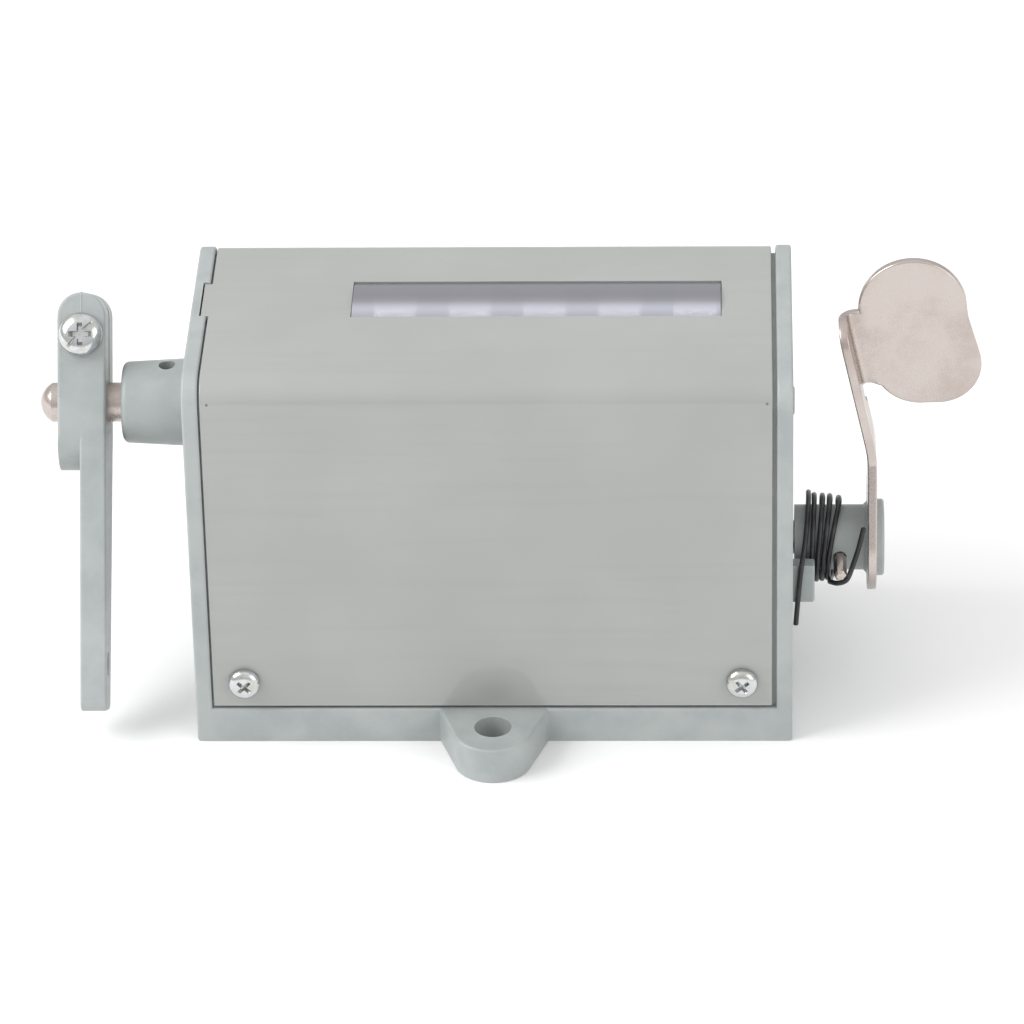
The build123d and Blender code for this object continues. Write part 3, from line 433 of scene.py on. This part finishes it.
FINISH = {
    "casting_paint": casting_paint(),
    "cover_paint": cover_paint(),
    "clear_lens": clear_lens(),
    "mask_black": plastic("mask_black", BLACK, BLACK_DUSTY, 0.45, 0.65, 0.3, 0.01),
    "zinc_plate": metal("zinc_plate", ZINC, ZINC_YELLOW, 0.10, 0.26, 1.8, 0.15, 0.004),
    "nickel_plate": metal("nickel_plate", NICKEL, NICKEL_DULL, 0.20, 0.38, 9.0, 0.25, 0.006),
    "bronze": metal("bronze", BRONZE, BRONZE_DARK, 0.30, 0.50, 3.0, 0.3, 0.008),
    "steel": metal("steel", STEEL, STEEL_DARK, 0.25, 0.45, 4.0, 0.3, 0.006),
    "spring_black": plastic("spring_black", OXIDE, OXIDE_PALE, 0.28, 0.45, 0.4, 0.012),
    "wheel_black": plastic("wheel_black", BLACK, BLACK_DUSTY, 0.35, 0.50, 0.4, 0.01),
    "pinion_white": plastic("pinion_white", IVORY, IVORY_DULL, 0.35, 0.50, 0.4, 0.01),
}


def paint_cad_nodes():
    """Every carried-over node takes its record slot's finish."""
    for part in frame["record"]["subparts"]:
        data = frame["nodes"][part["node"]].data
        data.materials.clear()
        data.materials.append(FINISH[part["material_slot"]])


# ---- mesh helpers, in millimetres ----
def lathe(profile, steps=56):
    """A solid of revolution about Z from (radius, height) points that start and end on the axis."""
    bm = bmesh.new()
    rings = []
    for radius, height in profile:
        count = steps if radius > 0 else 1
        turns = [2 * pi * i / count for i in range(count)]
        rings.append([bm.verts.new((radius * cos(a), radius * sin(a), height)) for a in turns])
    for low, high in zip(rings, rings[1:]):
        for i in range(steps):
            j = (i + 1) % steps
            corners = [low[i % len(low)], low[j % len(low)], high[j % len(high)], high[i % len(high)]]
            bm.faces.new(list(dict.fromkeys(corners)))
    return bm


def tapered_bar(length, width, top, depth):
    """A bar across X whose sides draw in towards its bottom, for cutting a slot."""
    bm = bmesh.new()
    bmesh.ops.create_cube(bm, size=1.0)
    for vert in bm.verts:
        low = vert.co.z < 0
        vert.co.x *= length * (CUT_TAPER[0] if low else 1.0)
        vert.co.y *= width * (CUT_TAPER[1] if low else 1.0)
        vert.co.z = top - depth if low else top + 0.5
    return bm


def smooth_path(points, steps):
    """Points along a Catmull-Rom curve through the given points."""
    ends = [2 * points[0] - points[1], *points, 2 * points[-1] - points[-2]]
    path = []
    for a, b, c, d in zip(ends, ends[1:], ends[2:], ends[3:]):
        for i in range(steps):
            t = i / steps
            path.append(0.5 * (2 * b + (c - a) * t + (2 * a - 5 * b + 4 * c - d) * t * t
                               + (3 * b - a - 3 * c + d) * t * t * t))
    return path + [points[-1]]


def round_wire(path, radius, sides=14):
    """A round wire along a path, with domed ends."""
    bm = bmesh.new()
    along = (path[1] - path[0]).normalized()
    across = along.orthogonal().normalized()
    rings = []
    for i, point in enumerate(path):
        turned = (path[min(i + 1, len(path) - 1)] - path[max(i - 1, 0)]).normalized()
        across = (along.rotation_difference(turned) @ across).normalized()
        along = turned
        side = along.cross(across)
        turns = [2 * pi * k / sides for k in range(sides)]
        spokes = [across * cos(a) + side * sin(a) for a in turns]
        rings.append([bm.verts.new(point + spoke * radius) for spoke in spokes])
    for low, high in zip(rings, rings[1:]):
        for k in range(sides):
            j = (k + 1) % sides
            bm.faces.new((low[k], low[j], high[j], high[k]))
    first = (rings[0], path[0], path[0] - path[1])
    last = (rings[-1], path[-1], path[-1] - path[-2])
    for ring, point, out in (first, last):
        tip = bm.verts.new(point + out.normalized() * radius * 0.5)
        for k in range(sides):
            bm.faces.new((ring[k], ring[(k + 1) % sides], tip))
    return bm


def loose(bm, name="loose"):
    """An unfinished object from a mesh."""
    bmesh.ops.recalc_face_normals(bm, faces=bm.faces)
    data = bpy.data.meshes.new(name)
    bm.to_mesh(data)
    bm.free()
    thing = bpy.data.objects.new(name, data)
    bpy.context.scene.collection.objects.link(thing)
    return thing


def settle(thing):
    """Applies a piece's modifiers to its mesh."""
    graph = bpy.context.evaluated_depsgraph_get()
    data = bpy.data.meshes.new_from_object(thing.evaluated_get(graph))
    thing.modifiers.clear()
    thing.data = data


def soften(thing, width, segments=2, degrees=35.0):
    """Adds a bevel that rounds edges sharper than an angle."""
    bevel = thing.modifiers.new("round", "BEVEL")
    bevel.width = width
    bevel.segments = segments
    bevel.limit_method = "ANGLE"
    bevel.angle_limit = radians(degrees)


def carved(solid, cutters, edge):
    """The mesh of a solid less its cutters, with small rounded edges."""
    body = loose(solid)
    tools = [loose(cutter) for cutter in cutters]
    for tool in tools:
        cut = body.modifiers.new("cut", "BOOLEAN")
        cut.object = tool
        cut.solver = "EXACT"
    soften(body, edge)
    settle(body)
    data = body.data
    for thing in (body, *tools):
        bpy.data.objects.remove(thing)
    return data


def copies(data, places):
    """One mesh from copies of another."""
    bm = bmesh.new()
    for place in places:
        copy = data.copy()
        copy.transform(place)
        bm.from_mesh(copy)
    return bm


def finish_piece(thing, slot, body=None, replaces=()):
    """Scales a piece to metres, smooths it, paints it and sets what it rides on."""
    thing.data.transform(Matrix.Scale(MM, 4))
    thing.data.shade_smooth()
    thing.data.set_sharp_from_angle(angle=radians(SHARP_DEGREES))
    thing.data.materials.clear()
    thing.data.materials.append(FINISH[slot])
    for node in replaces:
        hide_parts(node)
    if body is not None:
        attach(thing, body)
    return thing


# ---- screws ----
def pan_head(head_r, head_h, shank_r, length):
    """A domed screw about Z with its seat at z = 0."""
    side = PAN_SIDE * head_h
    profile = [(0, -length), (0.75 * shank_r, -length), (shank_r, -length + 0.4), (shank_r, 0)]
    profile += [(head_r - 0.08, 0), (head_r, 0.08), (head_r, side)]
    for i in range(1, PAN_STEPS):
        a = radians(90 * i / PAN_STEPS)
        profile.append((head_r * cos(a) ** PAN_DOME, side + (head_h - side) * sin(a)))
    profile.append((0, head_h))
    return lathe(profile)


def cross_slots(head_r, head_h):
    """Cutters for a cross recess, deepest at its middle."""
    long, wide, deep = CROSS_CUT
    cutters = []
    for turn in (0, 90):
        bar = tapered_bar(long * head_r, wide * head_r, head_h, deep * head_h)
        bmesh.ops.rotate(bar, verts=bar.verts, matrix=Matrix.Rotation(radians(turn), 3, "Z"))
        cutters.append(bar)
    return cutters


def screws():
    """Four cross-recessed cover screws and the lever's clamp screw, which also has a plain slot."""
    blank = pan_head(M3_HEAD_R, M3_HEAD_H, M3_SHANK_R, M3_LENGTH)
    m3 = carved(blank, cross_slots(M3_HEAD_R, M3_HEAD_H), M3_EDGE)
    places = []
    for i, (x, seat, facing) in enumerate(COVER_SCREW_SEATS):
        at = Matrix.Translation((x, seat, COVER_SCREW_Z)) @ Matrix.Rotation(radians(90 * facing), 4, "X")
        places.append(at @ Matrix.Rotation(radians(COVER_SCREW_TURNS[i]), 4, "Z"))
    finish_piece(loose(copies(m3, places), "cover_screw_heads"), "zinc_plate", "root", ["cover_screws"])
    long, wide, deep = SLOT_CUT
    slot = tapered_bar(long * M4_HEAD_R, wide * M4_HEAD_R, M4_HEAD_H, deep * M4_HEAD_H)
    bmesh.ops.rotate(slot, verts=slot.verts, matrix=Matrix.Rotation(radians(SLOT_TURN), 3, "Z"))
    cutters = [*cross_slots(M4_HEAD_R, M4_HEAD_H), slot]
    blank = pan_head(M4_HEAD_R, M4_HEAD_H, M4_SHANK_R, M4_LENGTH)
    m4 = carved(blank, cutters, M4_EDGE)
    seat = Matrix.Translation((LEVER_MIDDLE_X, -LEVER_DEEP, CLAMP_Z)) @ Matrix.Rotation(radians(90), 4, "X")
    place = LEVER_PLACE @ seat
    finish_piece(loose(copies(m4, [place]), "clamp_screw_head"), "zinc_plate", "drive", ["clamp_screw"])


def reset_pin_piece():
    """The six-sided cross pin that the reset spring hooks under, chamfered at its tip."""
    reach = PIN_REACH - PIN_ROOT
    profile = [(0, 0), (PIN_R, 0), (PIN_R, reach - PIN_CHAMFER), (PIN_R - 0.4, reach), (0, reach)]
    bm = lathe(profile, steps=6)
    down = Matrix.Rotation(radians(90 + PIN_DROP), 4, "X")
    place = Matrix.Translation((PIN_X, RESET_Y, RESET_Z)) @ down @ Matrix.Translation((0, 0, PIN_ROOT))
    bmesh.ops.transform(bm, matrix=place, verts=bm.verts)
    pin = loose(bm, "reset_cross_pin")
    soften(pin, 0.1)
    settle(pin)
    finish_piece(pin, "nickel_plate", "reset", ["reset_pin"])


# ---- springs ----
def reset_spring_piece():
    """The reset spring: a tail down past the stop lug, five uneven turns and a hook under the pin."""
    points = [Vector(p) for p in SPRING_TAIL]
    for fronts, tops, backs, bottoms, radius in SPRING_TURNS:
        if fronts is not None:
            points.append(Vector((fronts, RESET_Y - radius, RESET_Z)))
        points.append(Vector((tops, RESET_Y, RESET_Z + radius)))
        points.append(Vector((backs, RESET_Y + radius, RESET_Z)))
        points.append(Vector((bottoms, RESET_Y, RESET_Z - radius)))
    points = rounded_turns(points)
    points += [Vector(p) for p in SPRING_HOOK]
    spring = loose(round_wire(smooth_path(points, 5), SPRING_WIRE_R), "reset_spring_wire")
    finish_piece(spring, "spring_black", None, ["reset_spring"])
    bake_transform(spring)


def off_axis(point):
    """A point's offset from the reset shaft's axis."""
    return Vector((0, point.y - RESET_Y, point.z - RESET_Z))


def rounded_turns(points):
    """Adds a point halfway round between quarter-turn points, so that the coil stays round."""
    full = points[:len(SPRING_TAIL)]
    turning = points[len(SPRING_TAIL):]
    for a, b in zip(turning, turning[1:]):
        full.append(a)
        middle = (a + b) / 2
        reach = (off_axis(a).length + off_axis(b).length) / 2
        full.append(Vector((middle.x, RESET_Y, RESET_Z)) + off_axis(middle).normalized() * reach)
    return full + [turning[-1]]


def return_spring_piece():
    """The lever's return spring, inside the frame between the cheek and the pawl carrier."""
    points = []
    for i in range(RETURN_STEPS + 1):
        share = i / RETURN_STEPS
        a = 2 * pi * RETURN_TURNS * share
        x = RETURN_LEFT + (RETURN_RIGHT - RETURN_LEFT) * share
        points.append(Vector((x, AXIS_Y + RETURN_R * cos(a), AXIS_Z + RETURN_R * sin(a))))
    spring = loose(round_wire(points, RETURN_WIRE_R, 12), "return_spring_wire")
    finish_piece(spring, "spring_black", None, ["return_spring"])
    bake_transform(spring)


# ---- reset lever ----
def arc(centre, radius, first, last, steps):
    """Points along an arc between two angles in degrees."""
    angles = [radians(first + (last - first) * i / steps) for i in range(steps + 1)]
    return [Vector((centre[0] + radius * cos(a), centre[1] + radius * sin(a))) for a in angles]


def spaced(outline, step):
    """A closed outline with no run longer than a step."""
    full = []
    for a, b in zip(outline, outline[1:] + outline[:1]):
        count = max(1, round((b - a).length / step))
        full += [a.lerp(b, i / count) for i in range(count)]
    return full


def knee(z, at, change, half):
    """A change of slope at a height, rounded over half a knee each way."""
    rise = min(max(z - at + half, 0.0), 2 * half)
    return change * (rise * rise / (4 * half) + max(z - at - half, 0.0))


def plate_middle(z):
    """The x of the arm's middle plane, stepped inwards towards the top."""
    inwards = knee(z, KNEE_LOW_Z, ARM_SLOPE, KNEE_LOW_HALF)
    back = knee(z, KNEE_HIGH_Z, ARM_SLOPE - TIP_SLOPE, KNEE_HIGH_HALF)
    return PLATE_MIDDLE_X - inwards + back


def flat(x, z):
    """Where a paddle point lies on the flat pattern."""
    return Vector((x - plate_middle(z) - BEND_MID_R + BEND_AT + BEND_MID_R * pi / 2, z))


def arm_pattern():
    """The eye and the arm, with the relief notch below the neck."""
    tip = PLATE_TIP_Z - ARM_HALF
    lean = EYE_LEAN
    outline = arc((0, RESET_Z), EYE_R, 180 - lean, 360 + lean, 40)
    outline += arc((0, KNEE_LOW_Z - 2), ARM_HALF, lean, 0, 2)
    outline += [Vector((ARM_HALF, NOTCH_Z - NOTCH_R))]
    outline += arc((NOTCH_ACROSS, NOTCH_Z), NOTCH_R, 270, 90, 10)
    outline += arc((0, tip), ARM_HALF, TIP_ARC_START, 180, 18)
    outline += arc((0, KNEE_LOW_Z - 2), ARM_HALF, 180, 180 - lean, 2)
    return outline


def paddle_pattern():
    """The paddle: the hull of its circles, laid flat."""
    rim = []
    for x, z, radius in PADDLE_CIRCLES:
        rim += [Vector((p.x, p.y)) for p in arc((x, z), radius, 0, 360, 60)]
    hull = [rim[i] for i in geometry.convex_hull_2d(rim)]
    return [flat(p.x, p.y) for p in hull]


def plate_pattern_mesh():
    """The flat pattern as a fine mesh, with the hole for the hub's spigot left out."""
    patterns = (arm_pattern(), [Vector(corner) for corner in NECK], paddle_pattern())
    outlines = [spaced(pattern, OUTLINE_STEP) for pattern in patterns]
    hole = arc((RESET_Y, RESET_Z), SPIGOT_R, 0, 354, 59)
    points = [p for outline in outlines for p in outline]
    nearby = KDTree(len(points) + len(hole))
    for i, p in enumerate(points + hole):
        nearby.insert((p.x, p.y, 0), i)
    nearby.balance()
    columns = [PATTERN_LEFT + COLUMN_STEP * i for i in range(COLUMNS)]
    columns += [BEND_AT + BEND_MID_R * pi / 2 * i / BEND_COLUMNS for i in range(BEND_COLUMNS + 1)]
    rows = [PATTERN_LOW_Z + ROW_STEP * i for i in range(ROWS)]
    grid = [Vector((u, z)) for u in columns for z in rows if nearby.find((u, z, 0))[2] > OUTLINE_CLEAR]
    faces = []
    for outline in outlines:
        first = sum(len(f) for f in faces)
        faces.append(list(range(first, first + len(outline))))
    first = len(points)
    ring = [(first + i, first + (i + 1) % len(hole)) for i in range(len(hole))]
    verts, _, cells, _, _, _ = geometry.delaunay_2d_cdt(points + hole + grid, ring, faces, 1, 1e-4)
    bm = bmesh.new()
    made = [bm.verts.new((v.x, v.y, 0)) for v in verts]
    for cell in cells:
        middle = (verts[cell[0]] + verts[cell[1]] + verts[cell[2]]) / 3
        if (middle - Vector((RESET_Y, RESET_Z))).length > SPIGOT_R:
            bm.faces.new([made[i] for i in cell])
    bmesh.ops.delete(bm, geom=[v for v in bm.verts if not v.link_faces], context="VERTS")
    bmesh.ops.remove_doubles(bm, verts=bm.verts, dist=WELD)
    return bm


def bent(u, z):
    """A flat pattern point, stepped, and bent if it is on the neck or the paddle."""
    x = plate_middle(z)
    on_eye = z < KNEE_LOW_Z
    beside_notch = z < NOTCH_Z and u < ARM_HALF + 0.3
    if on_eye or beside_notch:
        return Vector((x, u, z))
    turn = min(max((u - BEND_AT) / BEND_MID_R, 0.0), pi / 2)
    beyond = max(u - BEND_AT - BEND_MID_R * pi / 2, 0.0)
    y = min(u, BEND_AT) + BEND_MID_R * sin(turn)
    return Vector((x + BEND_MID_R * (1 - cos(turn)) + beyond, y, z))


def reset_lever_piece():
    """The reset lever: sheet cut to its pattern, stepped, and bent into a paddle."""
    bm = plate_pattern_mesh()
    for vert in bm.verts:
        vert.co = bent(vert.co.x, vert.co.y)
    plate = loose(bm, "reset_lever_plate")
    thick = plate.modifiers.new("thick", "SOLIDIFY")
    thick.thickness = PLATE_T
    thick.offset = 0.0
    thick.use_even_offset = True
    soften(plate, PLATE_EDGE, 3, 60.0)
    plate.modifiers["round"].use_clamp_overlap = False
    settle(plate)
    finish_piece(plate, "nickel_plate", "reset", ["reset_lever"])


# ---- figures on the wheels ----
def figure(character):
    """One printed figure, flat, cut into bands so that it can wrap round a rim."""
    curve = bpy.data.curves.new("figure", "FONT")
    curve.body = character
    curve.size = FIGURE_SIZE
    curve.align_x = "CENTER"
    curve.align_y = "CENTER"
    curve.offset = FIGURE_WEIGHT
    thing = bpy.data.objects.new("figure", curve)
    bpy.context.scene.collection.objects.link(thing)
    bpy.context.view_layer.update()
    graph = bpy.context.evaluated_depsgraph_get()
    data = bpy.data.meshes.new_from_object(thing.evaluated_get(graph))
    bpy.data.objects.remove(thing)
    bm = bmesh.new()
    bm.from_mesh(data)
    for i in range(-FIGURE_BANDS, FIGURE_BANDS + 1):
        everything = bm.verts[:] + bm.edges[:] + bm.faces[:]
        bmesh.ops.bisect_plane(bm, geom=everything, plane_co=(0, i * FIGURE_BAND, 0), plane_no=(0, 1, 0))
    flat_figure = bpy.data.meshes.new("figure")
    bm.to_mesh(flat_figure)
    bm.free()
    return flat_figure


def wheel_figures():
    """Ten figures round each number wheel, their tops towards the back where they are read."""
    shapes = [figure(str(i)) for i in range(10)]
    for index, wheel in enumerate(WHEELS):
        middle = WHEEL_X + index * WHEEL_PITCH
        bm = bmesh.new()
        for value, shape in enumerate(shapes):
            start = len(bm.verts)
            bm.from_mesh(shape)
            bm.verts.ensure_lookup_table()
            for vert in bm.verts[start:]:
                a = radians(90 - 36 * value) - vert.co.y / RIM_R
                reach = RIM_R + FIGURE_PROUD
                vert.co = (middle + vert.co.x, AXIS_Y + reach * cos(a), AXIS_Z + reach * sin(a))
        figures = loose(bm, "figures_" + wheel)
        thick = figures.modifiers.new("thick", "SOLIDIFY")
        thick.thickness = 2 * FIGURE_PROUD
        thick.offset = 0.0
        settle(figures)
        finish_piece(figures, "pinion_white", wheel)


# ---- casting marks ----
def lever_flash():
    """The faint parting ridge down the front of the lever's clamp."""
    tall = FLASH_HIGH_Z - FLASH_LOW_Z
    z_values = [FLASH_LOW_Z + tall * i / FLASH_STEPS for i in range(FLASH_STEPS + 1)]
    points = [Vector((LEVER_MIDDLE_X, -LEVER_DEEP + FLASH_SUNK, z)) for z in z_values]
    for back, rise in FLASH_TOP:
        points.append(Vector((LEVER_MIDDLE_X, -LEVER_DEEP + back, FLASH_HIGH_Z + rise)))
    bm = round_wire(points, FLASH_R, 8)
    bmesh.ops.transform(bm, matrix=LEVER_PLACE, verts=bm.verts)
    finish_piece(loose(bm, "lever_flash"), "casting_paint", "drive")


# ---- studio ----
def aim(thing, target):
    """Turns a lamp to face a point."""
    thing.rotation_mode = "QUATERNION"
    thing.rotation_quaternion = (target - thing.location).to_track_quat("-Z", "Y")


def soft_box(name, place, target, width, height, watts):
    """A rectangular soft light that faces a point."""
    light = bpy.data.lights.new(name, "AREA")
    light.shape = "RECTANGLE"
    light.size = width
    light.size_y = height
    light.energy = watts
    lamp = bpy.data.objects.new(name, light)
    bpy.context.scene.collection.objects.link(lamp)
    lamp.location = place
    aim(lamp, target)


def studio():
    """A white floor, two soft boxes and a pale room that is dimmer towards its horizon."""
    data = bpy.data.meshes.new("floor")
    corners = [(-FLOOR_HALF, -FLOOR_HALF, 0), (FLOOR_HALF, -FLOOR_HALF, 0),
               (FLOOR_HALF, FLOOR_HALF, 0), (-FLOOR_HALF, FLOOR_HALF, 0)]
    data.from_pydata(corners, [], [(0, 1, 2, 3)])
    data.materials.append(floor_white())
    floor = bpy.data.objects.new("floor", data)
    bpy.context.scene.collection.objects.link(floor)
    floor.location.z = cad_box[0].z - FLOOR_GAP
    middle = (cad_box[0] + cad_box[1]) / 2
    soft_box("key", KEY_AT, middle, KEY_SIZE, KEY_SIZE, KEY_WATTS)
    soft_box("fill", FILL_AT, middle, FILL_SIZE, FILL_SIZE, FILL_WATTS)
    world = bpy.data.worlds.new("room")
    bpy.context.scene.world = world
    world.use_nodes = True
    tree = world.node_tree
    place = tree.nodes.new("ShaderNodeTexCoord").outputs["Generated"]
    axes = tree.nodes.new("ShaderNodeSeparateXYZ")
    tree.links.new(place, axes.inputs[0])
    height = tree.nodes.new("ShaderNodeMapRange")
    tree.links.new(axes.outputs["Z"], height.inputs["Value"])
    rise = (("From Min", 0.0), ("From Max", ROOM_RISE), ("To Min", ROOM_LOW), ("To Max", ROOM_HIGH))
    for socket, number in rise:
        height.inputs[socket].default_value = number
    background = tree.nodes["Background"]
    background.inputs["Color"].default_value = (1.0, 1.0, 1.0, 1)
    tree.links.new(height.outputs["Result"], background.inputs["Strength"])
    bpy.context.scene.view_settings.view_transform = "Standard"


def camera():
    """The long-lens view from above and in front."""
    forward = Vector((-sin(CAMERA_YAW) * cos(CAMERA_DOWN), cos(CAMERA_YAW) * cos(CAMERA_DOWN),
                      -sin(CAMERA_DOWN)))
    level = Vector((cos(CAMERA_YAW), sin(CAMERA_YAW), 0))
    upright = level.cross(forward)
    right = level * cos(CAMERA_ROLL) + upright * sin(CAMERA_ROLL)
    up = upright * cos(CAMERA_ROLL) - level * sin(CAMERA_ROLL)
    data = bpy.data.cameras.new("camera")
    data.lens = CAMERA_LENS
    data.sensor_width = SENSOR
    data.clip_end = 20.0
    thing = bpy.data.objects.new("camera", data)
    bpy.context.scene.collection.objects.link(thing)
    thing.matrix_world = Matrix.Translation(CAMERA_AT) @ Matrix((right, up, -forward)).transposed().to_4x4()
    bpy.context.scene.camera = thing


camera()
studio()
paint_cad_nodes()
screws()
reset_pin_piece()
reset_spring_piece()
return_spring_piece()
reset_lever_piece()
wheel_figures()
lever_flash()
